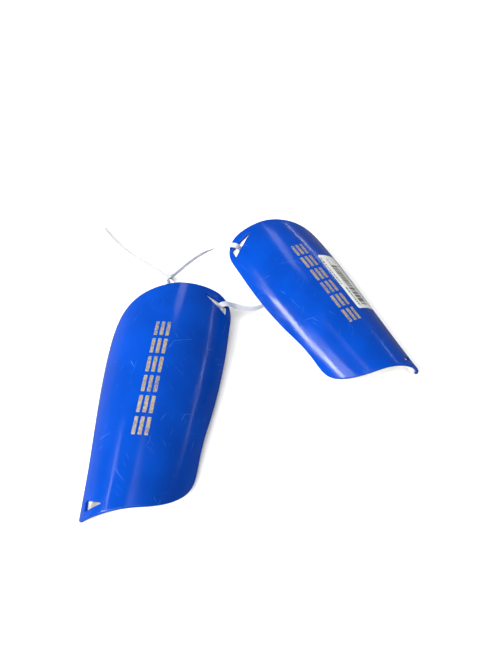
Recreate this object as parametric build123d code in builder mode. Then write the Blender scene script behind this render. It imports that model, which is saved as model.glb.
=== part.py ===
"""A pair of slip-in shin guards held together by one cable tie, lying on a table.

Each guard is a curved plastic shell with two strap slots and a foam liner glued
inside it. The right guard is the mirror image of the left one. The guard's own
frame has its crown along +Y, its ankle end at y = 0 and its outside towards +Z.
"""
from build123d import *
import os
from math import cos, radians, sin, tan

os.makedirs("parts", exist_ok=True)

# --- guard: sizes in mm -------------------------------------------------------
GUARD_LENGTH = 200.0
ANKLE_RADIUS = 40.8      # radius of the shell across the leg, at the ankle end
MIDDLE_RADIUS = 56.4
KNEE_RADIUS = 64.9       # the same at the knee end
CROWN_BOW = 1.9          # how far the crown line bulges at mid length
CROWN_WAVE = 3.3         # lower towards the ankle, higher towards the knee
SHELL_THICKNESS = 2.4
LINER_THICKNESS = 3.0
GLUE_GAP = 0.05
LINER_INSET = 0.6        # the liner's edge stands this far inside the shell's
SLOT_CORNER_RADIUS = 0.5

# The curved surface is fitted through a net of points a little larger than the guard.
NET_ENDS = (-14, 211)    # along the guard
NET_STEP = 8
NET_ANGLE = 84           # to each side of the crown line, degrees
NET_ANGLE_STEP = 7
NET_TOLERANCE = 0.005
CUT_BOTTOM = -90.0       # the outline is cut through the surface from here
CUT_HEIGHT = 140.0

# The flat outline before bending, as (across from the crown line, along the guard).
# It runs clockwise from the outer side of the ankle tip to the tip's lower side.
OUTLINE = [
    (-47.4, -3.0), (-49.5, 34.0), (-57.5, 70.0), (-63.6, 100.0), (-66.0, 125.0),
    (-62.5, 149.0), (-51.0, 169.5), (-34.0, 182.0), (-14.5, 190.3), (7.0, 196.2),
    (30.0, 197.4), (48.0, 195.0), (58.5, 186.5), (62.4, 170.0), (62.9, 140.0),
    (61.0, 106.0), (57.0, 79.0), (53.2, 60.0), (51.8, 40.0), (45.5, 18.0),
    (28.0, 7.6), (4.0, 1.9), (-20.0, -3.8), (-42.0, -7.6),
]
ANKLE_TIP = (-46.4, -7.0)
KNEE_SLOT = [(27.4, 189.5), (54.9, 185.0), (55.5, 176.0)]
ANKLE_SLOT = [(-37.0, 6.2), (-17.2, 3.9), (-35.0, -1.0)]

# --- print and label ----------------------------------------------------------
INK_THICKNESS = 0.1
PRINT_START = 51.5
PRINT_PITCH = 16.9
PRINT_MARKS = 6
PRINT_OFFSET = -0.8      # print line beside the crown line
BAR_LENGTH = 13.8
BAR_WIDTH = 2.9
BAR_PITCH = 4.9
LABEL_THICKNESS = 0.15
LABEL_CORNERS = [(-12.8, 61.8), (-39.8, 61.8), (-41.4, 131.6), (-14.4, 131.6)]
LABEL_CORNER_RADIUS = 2.5

# --- cable tie ----------------------------------------------------------------
STRAP_DIAMETER = 2.8     # a round strap with the section area of a 4.8 by 1.3 mm one
HEAD_CENTRE = (-93.0, 91.2, 4.4)
HEAD_SIZE = (8.4, 8.0, 6.0)      # along the strap's root, upright, along the slot
HEAD_SLOT = (3.4, 5.8)
HEAD_CORNER = 0.8
ROOT_RUN = 9.0           # straight strap beside the head, from its side face
ENTRY_RUN = 17.0         # and before and after its slot, from its centre
EXIT_RUN = 8.0
BEND_SHARE = 0.45        # share of a run that each bend of the strap may use
TAIL_HEADING = 138.5     # direction in plan of the strap through the head, degrees
# From the head's side over the right guard's rim, down through its knee slot, round
# under it, over the left guard's rim, down through its slot and back to the head.
LOOP_ROUTE = [
    (-73.3, 108.2, 10.5), (-60.8, 112.6, 18.0), (-47.3, 113.8, 25.5),
    (-36.5, 112.2, 30.8), (-28.6, 109.6, 34.2), (-22.2, 107.3, 35.2),
    (-17.3, 110.2, 26.2), (-11.0, 112.5, 18.5), (0.5, 109.0, 13.5),
    (10.5, 98.0, 11.5), (15.0, 82.0, 11.0), (13.5, 65.5, 10.5),
    (6.2, 52.8, 10.2), (-4.0, 46.4, 11.0), (-14.6, 44.2, 13.4),
    (-24.4, 44.2, 17.8), (-31.2, 42.0, 24.0), (-36.6, 39.4, 24.8),
    (-41.0, 40.6, 16.4), (-48.5, 48.0, 9.5), (-60.5, 61.0, 5.8),
]
# From the head outwards, along the table.
TAIL_ROUTE = [
    (-113.0, 109.0, 3.4), (-131.0, 123.0, 2.8), (-147.0, 136.9, 2.6),
    (-161.6, 153.0, 2.6), (-178.5, 176.6, 2.6),
]

# --- how the two guards lie ---------------------------------------------------
# centre x, y and height of the guard's mid length, then yaw, pitch and roll
LEFT_POSE = (-85.70, -40.72, 33.67, -4.74, 3.6, 0.23)
RIGHT_POSE = (57.49, 56.10, 37.43, 28.39, 2.76, 7.39)
UP = (0, 0, 1)


def crown_radius(y):
    """Radius across the leg, a parabola through the three stated radii."""
    u = y / GUARD_LENGTH
    ankle = 2 * (u - 0.5) * (u - 1)
    knee = 2 * u * (u - 0.5)
    return ANKLE_RADIUS * ankle + MIDDLE_RADIUS * 4 * u * (1 - u) + KNEE_RADIUS * knee


def crown_height(y):
    """Height of the crown line."""
    u = y / GUARD_LENGTH
    return 4 * u * (1 - u) * (CROWN_BOW + CROWN_WAVE * 2 * (u - 0.5))


def bent(across, along, depth=0):
    """Plan position of a point of the flat outline once the sheet is bent."""
    radius = crown_radius(along)
    return ((radius - depth) * sin(across / radius), along)


def skin(depth):
    """The guard's curved surface, this far below its outside."""
    rows = []
    for y in range(*NET_ENDS, NET_STEP):
        radius = crown_radius(y)
        row = []
        for angle in range(-NET_ANGLE, NET_ANGLE + 1, NET_ANGLE_STEP):
            across = (radius - depth) * sin(radians(angle))
            height = crown_height(y) - radius + (radius - depth) * cos(radians(angle))
            row.append((across, y, height))
        rows.append(row)
    return Face.make_surface_from_array_of_points(rows, tol=NET_TOLERANCE)


def guard_profile(depth):
    """Plan outline of the guard with its two strap slots, at a depth below the outside."""
    with BuildSketch() as profile:
        with BuildLine():
            edge = Spline(*[bent(*point, depth) for point in OUTLINE])
            ThreePointArc(edge @ 1, bent(*ANKLE_TIP, depth), edge @ 0)
        make_face()
        with BuildSketch(mode=Mode.SUBTRACT) as slots:
            for corners in (KNEE_SLOT, ANKLE_SLOT):
                with BuildLine():
                    Polyline(*[bent(*point, depth) for point in corners], close=True)
                make_face()
            fillet(slots.vertices(), SLOT_CORNER_RADIUS)
    return profile.sketch


def trimmed(surface, profile):
    """The pieces of a surface that a plan profile covers."""
    bottom = profile.moved(Location((0, 0, CUT_BOTTOM)))
    return (surface & extrude(bottom, CUT_HEIGHT, dir=UP)).faces()


def pose_location(pose):
    """Location of a guard's frame on the table."""
    x, y, height, yaw, pitch, roll = pose
    turn = Rotation(0, 0, yaw) * Rotation(pitch, 0, 0) * Rotation(0, roll, 0)
    return Location((x, y, height)) * turn * Location((0, -GUARD_LENGTH / 2, 0))


def lay(faces, mirrored, place):
    """Faces of the left guard, mirrored where asked, put at their place."""
    if mirrored:
        faces = [mirror(face, about=Plane.YZ) for face in faces]
    return [place * face for face in faces]


with BuildSketch() as liner_profile:
    add(guard_profile(SHELL_THICKNESS + GLUE_GAP))
    offset(amount=-LINER_INSET)

with BuildSketch() as print_profile:
    for mark in range(PRINT_MARKS):
        centre = PRINT_START + BAR_LENGTH / 2 + mark * PRINT_PITCH
        for bar in (-1, 0, 1):
            with Locations((PRINT_OFFSET + bar * BAR_PITCH, centre)):
                Rectangle(BAR_WIDTH, BAR_LENGTH)

with BuildSketch() as label_profile:
    with BuildLine():
        Polyline(*[bent(*point) for point in LABEL_CORNERS], close=True)
    make_face()
    fillet(label_profile.vertices(), LABEL_CORNER_RADIUS)

outside = skin(0)
shell_faces = trimmed(outside, guard_profile(0))
liner_faces = trimmed(skin(SHELL_THICKNESS + GLUE_GAP), liner_profile.sketch)
print_faces = trimmed(outside, print_profile.sketch)
label_faces = trimmed(outside, label_profile.sketch)

for side, pose, mirrored in (("left", LEFT_POSE, False), ("right", RIGHT_POSE, True)):
    place = pose_location(pose)

    with BuildPart() as shell:
        thicken(lay(shell_faces, mirrored, place), -SHELL_THICKNESS, normal_override=UP)
    shell.part.label = f"{side}_shell"
    export_step(shell.part, f"parts/{side}_shell.step")

    with BuildPart() as liner:
        thicken(lay(liner_faces, mirrored, place), -LINER_THICKNESS, normal_override=UP)
    liner.part.label = f"{side}_liner"
    export_step(liner.part, f"parts/{side}_liner.step")

    with BuildPart() as marks:
        thicken(lay(print_faces, mirrored, place), INK_THICKNESS, normal_override=UP)
    marks.part.label = f"{side}_print"
    export_step(marks.part, f"parts/{side}_print.step")

with BuildPart() as label:
    thicken(lay(label_faces, True, pose_location(RIGHT_POSE)), LABEL_THICKNESS,
            normal_override=UP)
label.part.label = "price_label"
export_step(label.part, "parts/price_label.step")

head_plane = Plane(
    origin=HEAD_CENTRE,
    x_dir=(sin(radians(TAIL_HEADING)), -cos(radians(TAIL_HEADING)), 0),
    z_dir=(cos(radians(TAIL_HEADING)), sin(radians(TAIL_HEADING)), 0),
)
with BuildPart() as tie_head:
    with BuildSketch(head_plane.offset(-HEAD_SIZE[2] / 2)):
        Rectangle(HEAD_SIZE[0], HEAD_SIZE[1])
    extrude(amount=HEAD_SIZE[2])
    slot_axis = Axis(HEAD_CENTRE, head_plane.z_dir)
    fillet(tie_head.edges().filter_by(slot_axis), HEAD_CORNER)
    with BuildSketch(head_plane.offset(-HEAD_SIZE[2] / 2)):
        Rectangle(*HEAD_SLOT)
    extrude(amount=HEAD_SIZE[2], mode=Mode.SUBTRACT)
tie_head.part.label = "tie_head"
export_step(tie_head.part, "parts/tie_head.step")


def bend_radii(points):
    """The largest bend at each corner of the strap's route."""
    runs = [end - start for start, end in zip(points, points[1:])]
    radii = []
    for before, after in zip(runs, runs[1:]):
        half_turn = radians(before.get_angle(after)) / 2
        radii.append(BEND_SHARE * min(before.length, after.length) / tan(half_turn))
    return radii


route = [
    head_plane.from_local_coords(Vector(HEAD_SIZE[0] / 2, 0, 0)),
    head_plane.from_local_coords(Vector(HEAD_SIZE[0] / 2 + ROOT_RUN, 0, 0)),
    *[Vector(*point) for point in LOOP_ROUTE],
    head_plane.from_local_coords(Vector(0, 0, -ENTRY_RUN)),
    head_plane.from_local_coords(Vector(0, 0, EXIT_RUN)),
    *[Vector(*point) for point in TAIL_ROUTE],
]
with BuildPart() as tie_strap:
    with BuildLine():
        strap_path = FilletPolyline(*route, radius=bend_radii(route))
    with BuildSketch(Plane(origin=strap_path @ 0, z_dir=strap_path % 0)):
        Circle(STRAP_DIAMETER / 2)
    sweep()
tie_strap.part.label = "tie_strap"
export_step(tie_strap.part, "parts/tie_strap.step")
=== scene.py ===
"""Looks of a pair of shin guards held together by one cable tie.

Glossy blue shells with rounded rims, foam liners, worn ink marks, a paper label,
and a nylon tie whose strap follows one smooth spline. Sizes are in millimetres
until a mesh is made.
"""
import math

import bmesh
import bpy
import numpy as np
from mathutils import Matrix, Vector
from mathutils.geometry import delaunay_2d_cdt


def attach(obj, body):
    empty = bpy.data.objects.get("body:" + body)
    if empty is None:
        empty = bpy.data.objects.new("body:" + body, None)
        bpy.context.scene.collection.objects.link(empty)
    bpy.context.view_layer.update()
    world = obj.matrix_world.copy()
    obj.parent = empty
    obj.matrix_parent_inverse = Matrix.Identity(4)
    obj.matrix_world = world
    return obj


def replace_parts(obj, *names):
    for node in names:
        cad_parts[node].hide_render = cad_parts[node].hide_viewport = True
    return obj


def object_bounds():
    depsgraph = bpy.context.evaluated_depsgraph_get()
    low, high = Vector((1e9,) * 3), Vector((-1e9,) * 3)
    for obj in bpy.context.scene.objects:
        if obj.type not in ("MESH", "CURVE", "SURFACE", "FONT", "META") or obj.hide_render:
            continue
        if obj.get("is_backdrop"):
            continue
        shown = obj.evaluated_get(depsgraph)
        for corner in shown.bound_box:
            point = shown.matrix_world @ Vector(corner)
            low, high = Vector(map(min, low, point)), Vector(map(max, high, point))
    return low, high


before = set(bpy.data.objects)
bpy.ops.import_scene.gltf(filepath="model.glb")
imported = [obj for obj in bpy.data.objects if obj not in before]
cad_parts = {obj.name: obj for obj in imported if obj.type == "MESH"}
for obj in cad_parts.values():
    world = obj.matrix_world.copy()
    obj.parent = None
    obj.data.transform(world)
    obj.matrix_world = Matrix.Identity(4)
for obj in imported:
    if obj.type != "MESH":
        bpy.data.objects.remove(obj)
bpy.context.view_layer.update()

MM = 0.001
UP = np.array((0.0, 0.0, 1.0))

# --- guard: the curved sheet, as in the frame ----------------------------------
GUARD_LENGTH = 200.0
ANKLE_RADIUS = 40.8
MIDDLE_RADIUS = 56.4
KNEE_RADIUS = 64.9
CROWN_BOW = 1.9
CROWN_WAVE = 3.3
SHELL_THICKNESS = 2.4
SHELL_ROUNDING = (1.2, 0.5)      # radius of the rim's outer and inner edge
LINER_THICKNESS = 3.0
LINER_ROUNDING = (0.5, 1.1)
GLUE_GAP = 0.05
LINER_INSET = 2.0                # of the outer edge, and the same of the slots
LINER_SLOT_INSET = 0.5
SLOT_CORNER_RADIUS = 0.5
OUTLINE = [
    (-47.4, -3.0), (-49.5, 34.0), (-57.5, 70.0), (-63.6, 100.0), (-66.0, 125.0),
    (-62.5, 149.0), (-51.0, 169.5), (-34.0, 182.0), (-14.5, 190.3), (7.0, 196.2),
    (30.0, 197.4), (48.0, 195.0), (58.5, 186.5), (62.4, 170.0), (62.9, 140.0),
    (61.0, 106.0), (57.0, 79.0), (53.2, 60.0), (51.8, 40.0), (45.5, 18.0),
    (28.0, 7.6), (4.0, 1.9), (-20.0, -3.8), (-42.0, -7.6),
]
ANKLE_TIP = (-46.4, -7.0)
KNEE_SLOT = [(27.4, 189.5), (54.9, 185.0), (55.5, 176.0)]
ANKLE_SLOT = [(-37.0, 6.2), (-17.2, 3.9), (-35.0, -1.0)]
OUTLINE_STEP = 1.5
SLOT_STEP = 0.6
TIP_SOFTENING = 8
GRID = 3.0                       # spacing of the sheet's inner points
SHEET_UV = 250.0                 # millimetres of sheet that the texture square's side spans
SHEET_ORIGIN = (0.5, 0.1)        # the sheet's (0, 0) on the texture square

# centre x, y and height of the guard's mid length, then yaw, pitch and roll
LEFT_POSE = (-85.70, -40.72, 33.67, -4.74, 3.6, 0.23)
RIGHT_POSE = (57.49, 56.10, 37.43, 28.39, 2.76, 7.39)

# --- print and label ------------------------------------------------------------
INK_THICKNESS = 0.1
INK_ROUNDING = 0.04
PRINT_START = 51.5
PRINT_PITCH = 16.9
PRINT_MARKS = 6
PRINT_OFFSET = -0.8
BAR_LENGTH = 13.8
BAR_WIDTH = 2.9
BAR_PITCH = 4.9
BAR_CORNER = 0.5
LABEL_THICKNESS = 0.15
LABEL_ROUNDING = 0.06
LABEL_CORNERS = [(-12.8, 61.8), (-39.8, 61.8), (-41.4, 131.6), (-14.4, 131.6)]
LABEL_CORNER_RADIUS = 2.5

# --- cable tie ------------------------------------------------------------------
STRAP_WIDTH = 4.8
STRAP_THICKNESS = 1.3
HEAD_CENTRE = np.array((-93.0, 91.2, 4.4))
HEAD_SIZE = (8.4, 8.0, 6.0)      # along the strap's root, upright, along the slot
HEAD_SLOT = (3.4, 5.8)
TAIL_HEADING = 138.5
ROOT_RUN = 9.0
ENTRY_RUN = 17.0
EXIT_RUN = 8.0
LOOP_ROUTE = [
    (-73.3, 108.2, 10.5), (-60.8, 112.6, 18.0), (-47.3, 113.8, 25.5),
    (-36.5, 112.2, 30.8), (-28.6, 109.6, 34.2), (-22.2, 107.3, 35.2),
    (-17.3, 110.2, 26.2), (-11.0, 112.5, 18.5), (0.5, 109.0, 13.5),
    (10.5, 98.0, 11.5), (15.0, 82.0, 11.0), (13.5, 65.5, 10.5),
    (6.2, 52.8, 10.2), (-4.0, 46.4, 11.0), (-14.6, 44.2, 13.4),
    (-24.4, 44.2, 17.8), (-31.2, 42.0, 24.0), (-36.6, 39.4, 24.8),
    (-41.0, 40.6, 16.4), (-48.5, 48.0, 9.5), (-60.5, 61.0, 5.8),
]
TAIL_ROUTE = [
    (-113.0, 109.0, 3.4), (-131.0, 123.0, 2.8), (-147.0, 136.9, 2.6),
    (-161.6, 153.0, 2.6), (-178.5, 176.6, 2.6),
]
BRIDGE = np.array([(34.0, 193.0), (50.0, 190.0)])   # along the strip outside the knee slot
TOOTH_PITCH = 1.1
TOOTH_SHARE = 0.22               # of the pitch, that the slope of a tooth takes
TOOTH_DEPTH = 0.38
TOOTH_BAND = 1.55                # half width of the toothed band
RAIL_DROP = 0.08                 # the rails beside the teeth lie this much lower
SMOOTH_ROOT = 16.0               # no teeth this near the head
GRIP_LENGTH = 32.0               # nor here, where the tail is narrower, thinner and ridged
GRIP_NARROWING = 0.28
GRIP_THINNING = 0.25
RIDGE_START = 3.0                # from the start of the grip
RIDGE_DEPTH = 0.16
TIP_LENGTH = 6.0
TIP_NARROWING = 0.55
HEAD_CORNER = 1.6
HEAD_SLOT_CORNER = 0.4
PAWL_HALF_WIDTH = 1.9
NECK_CORNER = 0.3
# the neck's sections: distance past the head's side, half width and half thickness
NECK = [(-0.4, 3.2, 1.5), (0.5, 2.7, 1.0), (2.6, 2.5, 0.72)]

# --- camera and lights ------------------------------------------------------------
CAMERA_PLACE = (-12.31, -218.78, 329.47)
CAMERA_TILT = 37.045             # from straight down, degrees
CAMERA_LENS = 23.83
CAMERA_SENSOR = 36.0

WORLD_STRENGTH = 0.24
# name, azimuth and elevation in degrees, distance, width and height in metres, radiance
LIGHTS = [
    ("key", -126, 40, 3.4, (2.2, 2.0), 11.0),
    ("overhead", 180, 66, 3.0, (1.8, 1.4), 3.5),
    ("far_fill", -150, 78, 3.4, (2.0, 2.0), 3.0),
    ("window", -101, 33, 1.2, (0.46, 0.17), 46.0),
    ("side_window", -81, 36, 1.2, (0.14, 0.05), 15.0),
    ("back_panel", 1, 48, 1.5, (0.2, 0.5), 5.0),
    ("tube", 68, 25, 1.3, (0.9, 0.025), 18.0),
    ("far_tube", 28, 16, 1.5, (0.5, 0.025), 24.0),
]


def make_camera():
    data = bpy.data.cameras.new("camera")
    data.lens = CAMERA_LENS
    data.sensor_width = CAMERA_SENSOR
    data.clip_start = 0.01
    data.clip_end = 20.0
    camera = bpy.data.objects.new("camera", data)
    camera.location = Vector(CAMERA_PLACE) * MM
    camera.rotation_euler = (math.radians(CAMERA_TILT), 0.0, 0.0)
    bpy.context.scene.collection.objects.link(camera)
    bpy.context.scene.camera = camera


# --- the guard's surface ------------------------------------------------------------
def crown_radius(y):
    """Radius across the leg, a parabola through the three stated radii."""
    u = y / GUARD_LENGTH
    ankle = 2 * (u - 0.5) * (u - 1)
    knee = 2 * u * (u - 0.5)
    return ANKLE_RADIUS * ankle + MIDDLE_RADIUS * 4 * u * (1 - u) + KNEE_RADIUS * knee


def crown_height(y):
    """Height of the crown line."""
    u = y / GUARD_LENGTH
    return 4 * u * (1 - u) * (CROWN_BOW + CROWN_WAVE * 2 * (u - 0.5))


def plan(points):
    """Plan position of points given as (across, along) on the flat sheet."""
    points = np.array(points, float)
    radius = crown_radius(points[:, 1])
    return np.column_stack((radius * np.sin(points[:, 0] / radius), points[:, 1]))


def flat(points):
    """The reverse of plan()."""
    radius = crown_radius(points[:, 1])
    return np.column_stack((radius * np.arcsin(points[:, 0] / radius), points[:, 1]))


def unit(vectors):
    return vectors / np.linalg.norm(vectors, axis=-1, keepdims=True)


class Guard:
    """Where one guard lies. Its points are (across, along) on the sheet, and a depth."""

    def __init__(self, body, pose, mirrored):
        x, y, height, yaw, pitch, roll = pose
        turn = Matrix.Rotation(math.radians(yaw), 4, "Z")
        turn @= Matrix.Rotation(math.radians(pitch), 4, "X")
        turn @= Matrix.Rotation(math.radians(roll), 4, "Y")
        middle = Matrix.Translation((0, -GUARD_LENGTH / 2, 0))
        self.matrix = np.array(Matrix.Translation((x, y, height)) @ turn @ middle)
        self.body = body
        self.mirrored = mirrored

    def place(self, points, depth):
        across, along = np.array(points, float).T
        radius = crown_radius(along)
        angle = across / radius
        x = (radius - depth) * np.sin(angle) * (-1 if self.mirrored else 1)
        z = crown_height(along) - radius + (radius - depth) * np.cos(angle)
        local = np.column_stack((x, along, z))
        return local @ self.matrix[:3, :3].T + self.matrix[:3, 3]

    def axes(self, points):
        """Unit vectors across, along and out of the sheet at these points."""
        step = 0.05
        here = self.place(points, 0)
        across = unit(self.place(points + np.array((step, 0)), 0) - here)
        along = unit(self.place(points + np.array((0, step)), 0) - here)
        out = np.cross(across, along) * (-1 if self.mirrored else 1)
        return across, along, unit(out)


left = Guard("left_guard", LEFT_POSE, False)
right = Guard("right_guard", RIGHT_POSE, True)


# --- outlines ---------------------------------------------------------------------
def smooth_line(points, step):
    """Points this far apart along a cubic spline through the given ones."""
    points = np.array(points, float)
    run = np.concatenate(([0], np.cumsum(np.linalg.norm(np.diff(points, axis=0), axis=1))))
    gap = np.diff(run)
    count = len(points)
    system = np.eye(count)
    pull = np.zeros((count, 2))
    for i in range(1, count - 1):
        system[i, i - 1:i + 2] = gap[i - 1], 2 * (gap[i - 1] + gap[i]), gap[i]
        slopes = np.diff(points[i - 1:i + 2], axis=0) / gap[i - 1:i + 1, None]
        pull[i] = 6 * (slopes[1] - slopes[0])
    bend = np.linalg.solve(system, pull)
    at = np.linspace(0, run[-1], int(run[-1] / step) + 1)
    i = np.clip(np.searchsorted(run, at, side="right") - 1, 0, count - 2)
    span, after = gap[i][:, None], (at - run[i])[:, None]
    before = span - after
    return (
        (bend[i] * before**3 + bend[i + 1] * after**3) / (6 * span)
        + (points[i] / span - bend[i] * span / 6) * before
        + (points[i + 1] / span - bend[i + 1] * span / 6) * after
    )


def arc_through(start, middle, end, steps):
    """Points of the circle arc through three points, its two ends left out."""
    a, b, c = (complex(*p) for p in (start, middle, end))
    w = (c - a) / (b - a)
    centre = (b - a) * (w - abs(w) ** 2) / (2j * w.imag) + a
    first = np.angle(a - centre)
    turn = np.angle((b - centre) / (a - centre)) + np.angle((c - centre) / (b - centre))
    angles = first + turn * np.arange(1, steps) / steps
    ring = centre + abs(a - centre) * np.exp(1j * angles)
    return np.column_stack((ring.real, ring.imag))


def rounded(corners, radius, steps=6):
    """A polygon's points with its corners rounded."""
    corners = np.array(corners, float)
    points = []
    for i, corner in enumerate(corners):
        before = unit(corners[i - 1] - corner)
        after = unit(corners[(i + 1) % len(corners)] - corner)
        half = math.acos(np.clip(before @ after, -1, 1)) / 2
        centre = corner + unit(before + after) * radius / math.sin(half)
        start = corner + before * radius / math.tan(half) - centre
        end = corner + after * radius / math.tan(half) - centre
        for share in np.linspace(0, 1, steps + 1):
            points.append(centre + unit(start * (1 - share) + end * share) * radius)
    return np.array(points)


def divided(loop, step):
    """The same closed line with no run longer than the step."""
    points = []
    for start, end in zip(loop, np.roll(loop, -1, axis=0)):
        parts = max(1, math.ceil(np.linalg.norm(end - start) / step))
        points.extend(start + (end - start) * k / parts for k in range(parts))
    return np.array(points)


def area(loop):
    x, y = loop.T
    return 0.5 * np.sum(x * np.roll(y, -1) - np.roll(x, -1) * y)


def outward(loop):
    """Unit vectors square to a closed line, on its right."""
    along = np.roll(loop, -1, axis=0) - np.roll(loop, 1, axis=0)
    return unit(np.column_stack((along[:, 1], -along[:, 0])))


def softened(loop, rounds):
    """A closed line with each point drawn towards its neighbours, so that no kink is left."""
    for _ in range(rounds):
        loop = 0.5 * loop + 0.25 * (np.roll(loop, 1, axis=0) + np.roll(loop, -1, axis=0))
    return loop


def inset_by(loop, distance):
    """A closed line this far inside the material's edge, without the folds at sharp turns."""
    moved = loop - outward(loop) * distance
    gaps = np.array([np.min(np.hypot(*(loop - point).T)) for point in moved])
    return softened(moved[gaps > distance - 0.1], TIP_SOFTENING)


def directed(loops):
    """The first line runs anticlockwise and the holes clockwise."""
    return [
        loop if (area(loop) > 0) == (i == 0) else loop[::-1] for i, loop in enumerate(loops)
    ]


def guard_loops():
    edge = smooth_line(plan(OUTLINE), OUTLINE_STEP)
    tip = arc_through(edge[-1], plan([ANKLE_TIP])[0], edge[0], 8)
    loops = [plan(softened(flat(np.vstack((edge, tip))), TIP_SOFTENING))]
    for corners in (KNEE_SLOT, ANKLE_SLOT):
        loops.append(divided(rounded(plan(corners), SLOT_CORNER_RADIUS), SLOT_STEP))
    return directed([flat(loop) for loop in loops])


def inside(points, loop):
    """Which points a closed line goes round."""
    x, y = points.T
    found = np.zeros(len(points), bool)
    for (x0, y0), (x1, y1) in zip(loop, np.roll(loop, -1, axis=0)):
        if y0 != y1:
            found ^= ((y0 > y) != (y1 > y)) & (x < (x1 - x0) * (y - y0) / (y1 - y0) + x0)
    return found


# --- bent plates --------------------------------------------------------------------
class Plate:
    """A mesh in the making: vertices in millimetres, normals, sheet points and faces."""

    def __init__(self):
        self.vertices, self.normals, self.sheet, self.faces = [], [], [], []

    def add(self, vertices, normals, sheet):
        first = sum(len(part) for part in self.vertices)
        self.vertices.append(vertices)
        self.normals.append(normals)
        self.sheet.append(sheet)
        return first + np.arange(len(vertices))


def filled(loops, step):
    """Points and triangles of the area that the loops bound. The loops' points come first."""
    edges, first = [], 0
    for loop in loops:
        count = len(loop)
        edges.extend((first + k, first + (k + 1) % count) for k in range(count))
        first += count
    rim = np.vstack(loops)
    low, high = rim.min(axis=0), rim.max(axis=0)
    xs = np.arange(low[0] + step / 2, high[0], step)
    ys = np.arange(low[1] + step / 2, high[1], step)
    net = np.array([(x, y) for y in ys for x in xs]).reshape(-1, 2)
    kept = inside(net, loops[0])
    for hole in loops[1:]:
        kept &= ~inside(net, hole)
    net = net[kept]
    if len(net):
        gaps = np.array([np.min(np.hypot(*(rim - point).T)) for point in net])
        net = net[gaps > 0.55 * step]
    points = np.vstack((rim, net))
    made = delaunay_2d_cdt([Vector(p) for p in points], edges, [], 0, 1e-5)
    given = [sources[0] for sources in made[3]]
    triangles = np.array([[given[v] for v in face] for face in made[2]])
    middle = points[triangles].mean(axis=1)
    kept = inside(middle, loops[0])
    for hole in loops[1:]:
        kept &= ~inside(middle, hole)
    triangles = triangles[kept]
    a, b, c = (points[triangles[:, k]] for k in range(3))
    turned = np.cross(b - a, c - a) < 0
    triangles[turned] = triangles[turned][:, ::-1]
    return points, triangles


def bend_plate(plate, guard, loops, depth, thickness, rounding, step):
    """Adds one bent plate with rounded edges, its outside at this depth below the sheet."""
    top_round, bottom_round = rounding
    sides = [outward(loop) for loop in loops]
    points, triangles = filled([loop - side * top_round for loop, side in zip(loops, sides)], step)
    rim_count = sum(len(loop) for loop in loops)
    rim, side = np.vstack(loops), np.vstack(sides)
    across, along, out = guard.axes(points)
    low_points = points.copy()
    low_points[:rim_count] = rim - side * bottom_round
    top = plate.add(guard.place(points, depth), out, points)
    low = plate.add(guard.place(low_points, depth + thickness), -out, low_points)
    edge_out = side[:, :1] * across[:rim_count] + side[:, 1:] * along[:rim_count]
    rings = [top[:rim_count]]
    quarter = np.radians((30, 60, 90))
    wall = [(top_round * (math.sin(a) - 1), top_round * (1 - math.cos(a)), a) for a in quarter]
    for a in np.radians((0, 45)):
        inset = bottom_round * (math.cos(a) - 1)
        drop = thickness - bottom_round + bottom_round * math.sin(a)
        wall.append((inset, drop, a + math.pi / 2))
    for inset, drop, angle in wall:
        normal = math.sin(angle) * edge_out + math.cos(angle) * out[:rim_count]
        ring = rim + side * inset
        rings.append(plate.add(guard.place(ring, depth + drop), normal, ring))
    rings.append(low[:rim_count])
    faces = [tuple(top[v] for v in face) for face in triangles]
    faces += [tuple(low[v] for v in face[::-1]) for face in triangles]
    first = 0
    for loop in loops:
        here = first + np.arange(len(loop))
        there = np.roll(here, -1)
        for upper, lower in zip(rings, rings[1:]):
            faces += zip(upper[here], lower[here], lower[there], upper[there])
        first += len(loop)
    plate.faces += [face[::-1] if guard.mirrored else face for face in faces]


def link_mesh(name, mesh, body, material):
    piece = bpy.data.objects.new(name, mesh)
    bpy.context.scene.collection.objects.link(piece)
    mesh.materials.append(material)
    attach(piece, body)
    return piece


def plate_piece(name, plate, guard, material):
    """The finished object of a plate, with quads where its triangles pair up."""
    vertices = np.vstack(plate.vertices)
    normals = np.vstack(plate.normals)
    sheet = np.vstack(plate.sheet)
    mesh = bpy.data.meshes.new(name)
    mesh.from_pydata((vertices * MM).tolist(), [], [[int(v) for v in f] for f in plate.faces])
    work = bmesh.new()
    work.from_mesh(mesh)
    wide = math.radians(60)
    bmesh.ops.join_triangles(
        work, faces=[f for f in work.faces if len(f.verts) == 3],
        angle_face_threshold=wide, angle_shape_threshold=wide,
    )
    work.to_mesh(mesh)
    work.free()
    mesh.polygons.foreach_set("use_smooth", [True] * len(mesh.polygons))
    layer = mesh.uv_layers.new(name="sheet")
    corners = np.zeros(len(mesh.loops), int)
    mesh.loops.foreach_get("vertex_index", corners)
    uv = sheet / SHEET_UV + np.array(SHEET_ORIGIN)
    layer.data.foreach_set("uv", uv[corners].astype(np.float32).ravel())
    mesh.normals_split_custom_set_from_vertices(unit(normals).tolist())
    return link_mesh(name, mesh, guard.body, material)


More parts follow.
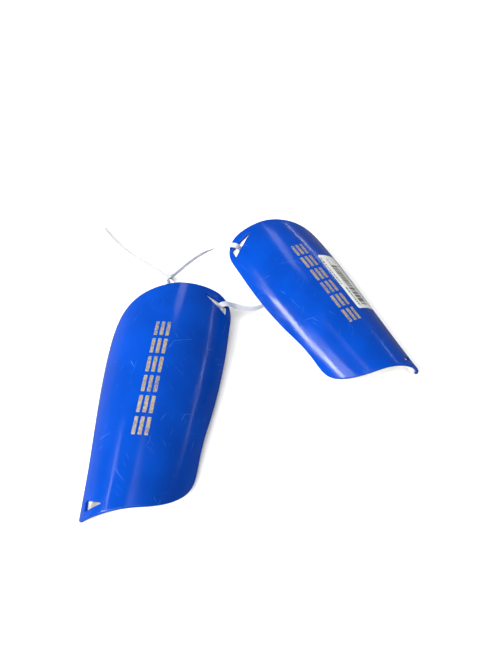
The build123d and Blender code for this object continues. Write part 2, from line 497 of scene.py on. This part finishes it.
# --- materials ------------------------------------------------------------------------
class Nodes:
    """A short way to write a material's nodes."""

    def __init__(self, name):
        self.material = bpy.data.materials.new(name)
        self.material.use_nodes = True
        self.tree = self.material.node_tree
        self.shader = self.tree.nodes["Principled BSDF"]

    def put(self, socket, value):
        if isinstance(value, bpy.types.NodeSocket):
            self.tree.links.new(value, socket)
        else:
            socket.default_value = value

    def add(self, kind, inputs=(), **settings):
        node = self.tree.nodes.new("ShaderNode" + kind)
        for key, value in settings.items():
            setattr(node, key, value)
        for key, value in dict(inputs).items():
            self.put(node.inputs[key], value)
        return node

    def math(self, operation, a, b=0.0, c=0.0):
        node = self.add("Math", {0: a, 1: b, 2: c}, operation=operation)
        return node.outputs[0]

    def sheet(self, turn=0.0, stretch=(1.0, 1.0)):
        """Points on the flat sheet in millimetres, turned and stretched."""
        uv = self.add("UVMap", uv_map="sheet").outputs[0]
        scale = (SHEET_UV * stretch[0], SHEET_UV * stretch[1], 1.0)
        spin = self.add("Mapping", {"Vector": uv, "Rotation": (0, 0, math.radians(turn))})
        return self.add("Mapping", {"Vector": spin.outputs[0], "Scale": scale}).outputs[0]

    def noise(self, vector, scale, detail=2.0, roughness=0.5):
        inputs = {"Vector": vector, "Scale": scale, "Detail": detail, "Roughness": roughness}
        return self.add("TexNoise", inputs).outputs["Fac"]

    def ramp(self, value, low, high, start=0.0, end=1.0):
        """start below low, end above high, and a smooth change between."""
        node = self.add(
            "MapRange", {"Value": value, "From Min": low, "From Max": high,
                         "To Min": start, "To Max": end}, interpolation_type="SMOOTHSTEP")
        return node.outputs[0]

    def mix(self, share, a, b):
        node = self.add("Mix", data_type="RGBA")
        self.put(node.inputs[0], share)
        self.put(node.inputs[6], a)
        self.put(node.inputs[7], b)
        return node.outputs[2]

    def bump(self, height, distance, strength=1.0, under=None):
        inputs = {"Height": height, "Distance": distance * MM, "Strength": strength}
        if under is not None:
            inputs["Normal"] = under
        return self.add("Bump", inputs).outputs[0]

    def finish(self, **values):
        for key, value in values.items():
            self.put(self.shader.inputs[key.replace("_", " ")], value)
        return self.material


BLUE = (0.0, 0.041, 0.31, 1.0)
BLUE_DEEP = (0.0, 0.035, 0.27, 1.0)
# light blue of the scratches and dust specks; on the scratches it is partly wear and partly a
# painted glint, as if they catch the light
GLINT_AND_MARK_BLUE = (0.08, 0.22, 0.65, 1.0)


def scratches(nodes, turn, pitch, length, amount):
    """Fine straight lines in one direction, broken up by a coarse noise."""
    lines = nodes.noise(nodes.sheet(turn, (1 / pitch, 1 / length)), 1.0, 1.0)
    patches = nodes.noise(nodes.sheet(turn + 31), 0.045, 1.0)
    line = nodes.ramp(lines, 0.70, 0.76)
    return nodes.math("MULTIPLY", line, nodes.ramp(patches, 0.62 - amount, 0.78 - amount))


def shell_plastic():
    nodes = Nodes("blue_gloss_plastic")
    cloud = nodes.noise(nodes.sheet(), 0.03, 2.0)
    base = nodes.mix(nodes.ramp(cloud, 0.35, 0.65), BLUE_DEEP, BLUE)
    marks = scratches(nodes, 24, 0.8, 26, 0.12)
    for turn, pitch, length in ((-38, 0.7, 18), (71, 0.8, 34), (8, 0.6, 60), (-52, 0.6, 40)):
        marks = nodes.math("MAXIMUM", marks, scratches(nodes, turn, pitch, length, 0.09))
    dust = nodes.add("TexVoronoi", {"Vector": nodes.sheet(), "Scale": 0.22, "Randomness": 1.0})
    speck = nodes.ramp(dust.outputs["Distance"], 0.035, 0.06, 1.0, 0.0)
    speck = nodes.math("MULTIPLY", speck, nodes.ramp(nodes.noise(nodes.sheet(), 0.09), 0.5, 0.6))
    # scratches painted lighter blue: partly wear, partly a painted glint where they would catch
    # the light; dust specks below get the same colour
    colour = nodes.mix(nodes.math("MULTIPLY", marks, 0.55), base, GLINT_AND_MARK_BLUE)
    colour = nodes.mix(nodes.math("MULTIPLY", speck, 0.5), colour, GLINT_AND_MARK_BLUE)
    waves = nodes.noise(nodes.sheet(0, (1.0, 0.35)), 0.05, 1.0)
    peel = nodes.noise(nodes.sheet(), 0.45, 2.0)
    normal = nodes.bump(waves, 0.35)
    normal = nodes.bump(peel, 0.012, 1.0, normal)
    normal = nodes.bump(marks, 0.02, 1.0, normal)
    rough = nodes.ramp(nodes.noise(nodes.sheet(17, (1.0, 0.3)), 0.12, 3.0), 0.3, 0.7, 0.12, 0.2)
    rough = nodes.math("MAXIMUM", rough, nodes.math("MULTIPLY", marks, 0.4))
    return nodes.finish(
        Base_Color=colour, Roughness=rough, Normal=normal, IOR=1.33, Specular_IOR_Level=0.33)


def liner_foam():
    nodes = Nodes("eva_foam")
    pores = nodes.add("TexVoronoi", {"Vector": nodes.sheet(), "Scale": 2.2})
    cell = nodes.ramp(pores.outputs["Distance"], 0.1, 0.5)
    tone = nodes.noise(nodes.sheet(), 0.06, 3.0)
    colour = nodes.mix(nodes.ramp(tone, 0.3, 0.7), (0.86, 0.83, 0.75, 1), (0.93, 0.91, 0.86, 1))
    colour = nodes.mix(nodes.math("MULTIPLY", cell, 0.25), colour, (0.74, 0.70, 0.62, 1))
    dents = nodes.bump(nodes.noise(nodes.sheet(), 0.2, 3.0), 0.15)
    normal = nodes.bump(nodes.math("SUBTRACT", 1.0, cell), 0.06, 1.0, dents)
    return nodes.finish(
        Base_Color=colour, Roughness=0.88, Normal=normal, Sheen_Weight=0.15,
        Subsurface_Weight=0.1, Subsurface_Radius=(0.002, 0.002, 0.0015))


def worn_ink():
    nodes = Nodes("silver_ink")
    tone = nodes.noise(nodes.sheet(), 0.5, 3.0)
    ink = nodes.mix(nodes.ramp(tone, 0.3, 0.7), (0.20, 0.165, 0.12, 1), (0.32, 0.27, 0.20, 1))
    grain = nodes.noise(nodes.sheet(0, (1.6, 0.5)), 1.0, 4.0, 0.7)
    patch = nodes.noise(nodes.sheet(), 0.055, 1.0)
    worn = nodes.math("ADD", grain, nodes.math("MULTIPLY", patch, 0.35))
    gone = nodes.ramp(worn, 0.74, 0.79)
    colour = nodes.mix(gone, ink, BLUE_DEEP)
    rough = nodes.ramp(tone, 0.3, 0.7, 0.34, 0.5)
    normal = nodes.bump(grain, 0.03)
    return nodes.finish(Base_Color=colour, Roughness=rough, Metallic=0.25, Normal=normal)


def stripes(nodes, along, across, start, end, low, high, period, duty, seed):
    """A row of bars of uneven width, between two lines along the label."""
    row = nodes.math("MULTIPLY", nodes.ramp(across, low - 0.15, low + 0.15),
                     nodes.ramp(across, high - 0.15, high + 0.15, 1.0, 0.0))
    span = nodes.math("MULTIPLY", nodes.ramp(along, start - 0.3, start + 0.3),
                      nodes.ramp(along, end - 0.3, end + 0.3, 1.0, 0.0))
    at = nodes.math("ADD", nodes.math("DIVIDE", along, period), seed)
    noise = nodes.add("TexNoise", {"W": at, "Scale": 1.0, "Detail": 0.0}, noise_dimensions="1D")
    bars = nodes.ramp(noise.outputs["Fac"], duty, duty + 0.04)
    return nodes.math("MULTIPLY", bars, nodes.math("MULTIPLY", row, span))


def label_paper():
    nodes = Nodes("label_paper")
    split = nodes.add("SeparateXYZ", {"Vector": nodes.sheet()})
    across = nodes.math("SUBTRACT", split.outputs[0], SHEET_UV * SHEET_ORIGIN[0])
    along = nodes.math("SUBTRACT", split.outputs[1], SHEET_UV * SHEET_ORIGIN[1])
    shown = stripes(nodes, along, across, 66, 118, -31.0, -21.5, 1.3, 0.40, 3.0)
    for row in (
        (92, 129, -16.6, -14.6, 1.5, 0.44, 11.0), (64, 88, -18.8, -16.8, 1.3, 0.42, 29.0),
        (70, 126, -35.0, -33.6, 1.4, 0.45, 47.0), (64, 120, -38.2, -36.8, 1.7, 0.45, 61.0),
        (104, 127, -23.4, -22.0, 1.6, 0.45, 83.0),
    ):
        shown = nodes.math("MAXIMUM", shown, stripes(nodes, along, across, *row))
    tone = nodes.noise(nodes.sheet(), 0.25, 4.0)
    paper = nodes.mix(nodes.ramp(tone, 0.3, 0.7), (0.60, 0.62, 0.58, 1), (0.68, 0.69, 0.65, 1))
    colour = nodes.mix(nodes.math("MULTIPLY", shown, 0.9), paper, (0.03, 0.03, 0.035, 1))
    creases = nodes.bump(nodes.noise(nodes.sheet(), 0.09, 2.0), 0.12)
    return nodes.finish(Base_Color=colour, Roughness=0.42, Normal=creases, Coat_Weight=0.1)


def nylon():
    nodes = Nodes("natural_nylon")
    place = nodes.add("TexCoord").outputs["Object"]
    tone = nodes.noise(place, 90.0, 2.0)
    colour = nodes.mix(nodes.ramp(tone, 0.3, 0.7), (0.43, 0.45, 0.52, 1), (0.50, 0.51, 0.56, 1))
    normal = nodes.bump(nodes.noise(place, 900.0, 2.0), 0.02)
    rough = nodes.ramp(nodes.noise(place, 300.0, 2.0), 0.3, 0.7, 0.3, 0.42)
    return nodes.finish(
        Base_Color=colour, Roughness=rough, Normal=normal, IOR=1.53, Subsurface_Weight=0.35,
        Subsurface_Radius=(0.002, 0.002, 0.0022))


# --- cable tie -------------------------------------------------------------------------
heading = math.radians(TAIL_HEADING)
SLOT_WAY = np.array((math.cos(heading), math.sin(heading), 0.0))
ROOT_WAY = np.array((math.sin(heading), -math.cos(heading), 0.0))


def tie_route():
    """The route's points, from the head's side round both guards and out along the tail."""
    root = HEAD_CENTRE + ROOT_WAY * HEAD_SIZE[0] / 2
    points = [root, root + ROOT_WAY * ROOT_RUN]
    points += [np.array(point) for point in LOOP_ROUTE]
    points += [HEAD_CENTRE - SLOT_WAY * ENTRY_RUN, HEAD_CENTRE + SLOT_WAY * EXIT_RUN]
    points += [np.array(point) for point in TAIL_ROUTE]
    return np.array(points)


def spline_path(points):
    """Points along one smooth NURBS line that has the route's points as its control points."""
    curve = bpy.data.curves.new("tie_route", "CURVE")
    curve.dimensions = "3D"
    spline = curve.splines.new("NURBS")
    spline.points.add(len(points) - 1)
    for control, point in zip(spline.points, points):
        control.co = (*(point * MM), 1.0)
    spline.order_u = 3
    spline.use_endpoint_u = True
    spline.resolution_u = 32
    holder = bpy.data.objects.new("tie_route", curve)
    bpy.context.scene.collection.objects.link(holder)
    bpy.context.view_layer.update()
    line = bpy.data.meshes.new_from_object(holder)
    path = np.array([v.co for v in line.vertices], float) / MM
    bpy.data.objects.remove(holder)
    bpy.data.curves.remove(curve)
    bpy.data.meshes.remove(line)
    return path


def lengths(path):
    return np.concatenate(([0], np.cumsum(np.linalg.norm(np.diff(path, axis=0), axis=1))))


def strap_widths(route, path, stations):
    """Unit vectors across the flat strap at each station, square to its line."""
    run = lengths(path)
    over_right = unit(np.diff(right.place(BRIDGE, 0), axis=0))[0]
    over_left = -unit(np.diff(left.place(BRIDGE, 0), axis=0))[0]
    hints = [(0, UP), (2, UP), (4, 0.5 * UP + 0.5 * over_right)]
    hints += [(k, over_right) for k in (6, 7, 8)]
    hints += [(k, UP) for k in (10, 11, 12, 13, 14)]
    hints += [(k, over_left) for k in (17, 18, 19, 20)]
    hints += [(k, UP) for k in (22, len(route) - 1)]
    places = [run[np.argmin(np.linalg.norm(path - route[k], axis=1))] for k, _ in hints]
    return np.array([np.interp(stations, places, [w[i] for _, w in hints]) for i in range(3)]).T


def strap_section(half_width, half_thick, tooth, grip):
    """Points round the strap as (across, towards the toothed side)."""
    rail = half_thick - RAIL_DROP
    band = min(TOOTH_BAND, half_width * 0.65)
    floor = rail - tooth
    back = -half_thick + grip
    return [
        (-half_width, 0.45 * half_thick), (-half_width, -0.45 * half_thick),
        (-half_width + 0.3, back), (0, back), (half_width - 0.3, back),
        (half_width, -0.45 * half_thick), (half_width, 0.45 * half_thick),
        (half_width - 0.25, rail), (band + 0.05, rail), (band, floor),
        (-band, floor), (-band - 0.05, rail), (-half_width + 0.25, rail),
    ]


def make_strap(route, path, material):
    run = lengths(path)
    total = run[-1]
    teeth = np.arange(0, total, TOOTH_PITCH)
    stations = np.sort(np.concatenate((teeth, teeth + TOOTH_SHARE * TOOTH_PITCH, [total])))
    stations = stations[stations <= total]
    centre = np.array([np.interp(stations, run, path[:, i]) for i in range(3)]).T
    ahead = unit(np.gradient(centre, stations + np.arange(len(stations)) * 1e-6, axis=0))
    wide = strap_widths(route, path, stations)
    wide = unit(wide - ahead * np.sum(wide * ahead, axis=1, keepdims=True))
    inner = np.cross(ahead, wide)
    vertices, faces = [], []
    for k, at in enumerate(stations):
        left_over = total - at
        grip_share = np.clip(1 - left_over / GRIP_LENGTH, 0, 1)
        half_width = STRAP_WIDTH / 2 * (1 - GRIP_NARROWING * grip_share)
        half_width *= 1 - TIP_NARROWING * np.clip(1 - left_over / TIP_LENGTH, 0, 1) ** 2
        half_thick = STRAP_THICKNESS / 2 * (1 - GRIP_THINNING * grip_share)
        toothed = SMOOTH_ROOT < at < total - GRIP_LENGTH
        valley = k % 2 == 0
        tooth = TOOTH_DEPTH if toothed and valley else 0.0
        ridged = TIP_LENGTH < left_over < GRIP_LENGTH - RIDGE_START
        grip = RIDGE_DEPTH if ridged and valley else 0.0
        for across, towards in strap_section(half_width, half_thick, tooth, grip):
            vertices.append(centre[k] + wide[k] * across + inner[k] * towards)
    count = len(vertices) // len(stations)
    for k in range(len(stations) - 1):
        for i in range(count):
            a, b = k * count + i, k * count + (i + 1) % count
            faces.append((a, b, b + count, a + count))
    last = len(vertices) - count
    faces.append(tuple(range(count))[::-1])
    faces.append(tuple(range(last, last + count)))
    mesh = bpy.data.meshes.new("tie_strap_nylon")
    mesh.from_pydata((np.array(vertices) * MM).tolist(), [], faces)
    work = bmesh.new()
    work.from_mesh(mesh)
    bmesh.ops.recalc_face_normals(work, faces=work.faces)
    work.to_mesh(mesh)
    work.free()
    mesh.shade_smooth()
    mesh.set_sharp_from_angle(angle=math.radians(32))
    return link_mesh("tie_strap_nylon", mesh, "cable_tie", material)


def box_corners(x, y):
    return [(x, y), (-x, y), (-x, -y), (x, -y)]


def skin(work, rings):
    """Adds the faces between each closed ring of vertices and the next."""
    for lower, upper in zip(rings, rings[1:]):
        for i in range(len(lower)):
            j = (i + 1) % len(lower)
            work.faces.new((lower[i], lower[j], upper[j], upper[i]))


def make_head(material):
    """The head: a rounded block with its slot, a pawl inside, and a neck to the strap."""
    wide, tall, deep = HEAD_SIZE
    work = bmesh.new()
    outer = rounded(box_corners(wide / 2, tall / 2), HEAD_CORNER, 5)
    slot_x, slot_y = HEAD_SLOT
    inner = rounded(box_corners(slot_x / 2, slot_y / 2), HEAD_SLOT_CORNER, 5)
    half = deep / 2
    levels = [(inner, 0.0, -half + 0.7), (inner, 0.45, -half), (outer, -0.9, -half)]
    levels += [(outer, -0.27, -half + 0.27), (outer, 0.0, -half + 0.9), (outer, 0.0, half - 0.9)]
    levels += [(outer, -0.27, half - 0.27), (outer, -0.9, half), (inner, 0.3, half)]
    levels += [(inner, 0.0, half - 0.5)]
    rings = []
    for loop, grow, z in levels:
        shape = loop + unit(loop) * grow
        rings.append([work.verts.new((x, y, z)) for x, y in shape])
    skin(work, [*rings, rings[0]])
    pawl = [(-slot_x / 2 - 0.2, -half + 0.9), (-slot_x / 2 + 1.0, -half + 1.3),
            (-0.75, half - 1.4), (-0.95, half - 0.7), (-slot_x / 2 - 0.2, half - 1.0)]
    sides = (-PAWL_HALF_WIDTH, PAWL_HALF_WIDTH)
    flanks = [[work.verts.new((x, y, z)) for x, z in pawl] for y in sides]
    skin(work, flanks)
    work.faces.new(flanks[0][::-1])
    work.faces.new(flanks[1])
    neck = []
    for past, y, z in NECK:
        corners = rounded(box_corners(y, z), NECK_CORNER, 3)
        neck.append([work.verts.new((wide / 2 + past, u, v)) for u, v in corners])
    skin(work, neck)
    work.faces.new(neck[0][::-1])
    work.faces.new(neck[-1])
    bmesh.ops.recalc_face_normals(work, faces=work.faces)
    mesh = bpy.data.meshes.new("tie_head_nylon")
    work.to_mesh(mesh)
    work.free()
    place = Matrix.Identity(4)
    upright = np.cross(SLOT_WAY, ROOT_WAY)
    for column, axis in enumerate((ROOT_WAY, upright, SLOT_WAY, HEAD_CENTRE)):
        for row in range(3):
            place[row][column] = axis[row]
    mesh.transform(Matrix.Scale(MM, 4) @ place)
    mesh.shade_smooth()
    mesh.set_sharp_from_angle(angle=math.radians(38))
    return link_mesh("tie_head_nylon", mesh, "cable_tie", material)


# --- stage ---------------------------------------------------------------------------
FLOOR_REACH = 3.0                # metres from the middle to each side
FLOOR_COLOUR = (0.92, 0.92, 0.92, 1)
FLOOR_MIRRORED = (0.12, 0.12, 0.12, 1)


def make_floor():
    """A pale floor that looks dark in the shells' reflections."""
    mesh = bpy.data.meshes.new("floor")
    reach = FLOOR_REACH
    mesh.from_pydata([(-reach, -reach, 0), (reach, -reach, 0), (reach, reach, 0),
                      (-reach, reach, 0)], [], [(0, 1, 2, 3)])
    floor = bpy.data.objects.new("floor", mesh)
    floor.location.z = -0.0003
    bpy.context.scene.collection.objects.link(floor)
    nodes = Nodes("pale_floor")
    mirrored = nodes.add("LightPath").outputs["Is Glossy Ray"]
    colour = nodes.mix(mirrored, FLOOR_COLOUR, FLOOR_MIRRORED)
    mesh.materials.append(nodes.finish(Base_Color=colour, Roughness=0.7))
    floor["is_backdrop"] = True


def make_world():
    world = bpy.data.worlds.new("studio")
    world.use_nodes = True
    background = world.node_tree.nodes["Background"].inputs
    background["Color"].default_value = (1.0, 1.0, 1.0, 1.0)
    background["Strength"].default_value = WORLD_STRENGTH
    bpy.context.scene.world = world
    bpy.context.scene.view_settings.view_transform = "Standard"


def make_light(name, azimuth, elevation, distance, size, radiance):
    """A soft area light that faces the object. Azimuth runs from +Y towards +X."""
    turn, rise = math.radians(azimuth), math.radians(elevation)
    way = Vector((math.sin(turn) * math.cos(rise), math.cos(turn) * math.cos(rise),
                  math.sin(rise)))
    data = bpy.data.lights.new(name, "AREA")
    data.shape = "RECTANGLE"
    data.size, data.size_y = size
    data.energy = radiance * math.pi * size[0] * size[1]
    light = bpy.data.objects.new(name, data)
    light.location = way * distance
    light.rotation_euler = way.to_track_quat("Z", "Y").to_euler()
    bpy.context.scene.collection.objects.link(light)


make_camera()
make_world()
make_floor()
for light in LIGHTS:
    make_light(*light)

route = tie_route()
path = spline_path(route)
tie_material = nylon()
head = make_head(tie_material)
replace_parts(head, "tie_head")
strap = make_strap(route, path, tie_material)
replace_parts(strap, "tie_strap")

plastic, foam, ink = shell_plastic(), liner_foam(), worn_ink()
outline = guard_loops()
insets = (LINER_INSET, LINER_SLOT_INSET, LINER_SLOT_INSET)
liner_outline = [inset_by(loop, inset) for loop, inset in zip(outline, insets)]
for side, guard in (("left", left), ("right", right)):
    shell = Plate()
    bend_plate(shell, guard, outline, 0, SHELL_THICKNESS, SHELL_ROUNDING, GRID)
    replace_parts(plate_piece(f"{side}_guard_shell", shell, guard, plastic), f"{side}_shell")
    liner = Plate()
    bend_plate(liner, guard, liner_outline, SHELL_THICKNESS + GLUE_GAP, LINER_THICKNESS,
               LINER_ROUNDING, GRID)
    pad = plate_piece(f"{side}_guard_liner", liner, guard, foam)
    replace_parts(pad, f"{side}_liner")
    marks = Plate()
    for mark in range(PRINT_MARKS):
        low = PRINT_START + mark * PRINT_PITCH
        for bar in (-1, 0, 1):
            middle = PRINT_OFFSET + bar * BAR_PITCH
            near, far = middle - BAR_WIDTH / 2, middle + BAR_WIDTH / 2
            corners = [(near, low), (far, low), (far, low + BAR_LENGTH), (near, low + BAR_LENGTH)]
            loop = divided(rounded(corners, BAR_CORNER, 3), GRID)
            bend_plate(marks, guard, [loop], -INK_THICKNESS, INK_THICKNESS - 0.01,
                       (INK_ROUNDING, INK_ROUNDING), GRID)
    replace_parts(plate_piece(f"{side}_guard_marks", marks, guard, ink), f"{side}_print")

sticker = Plate()
corners = rounded(LABEL_CORNERS, LABEL_CORNER_RADIUS, 8)
bend_plate(sticker, right, directed([divided(corners, 2.0)]), -LABEL_THICKNESS,
           LABEL_THICKNESS - 0.01, (LABEL_ROUNDING, LABEL_ROUNDING), 2.0)
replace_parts(plate_piece("paper_label", sticker, right, label_paper()), "price_label")

low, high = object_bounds()
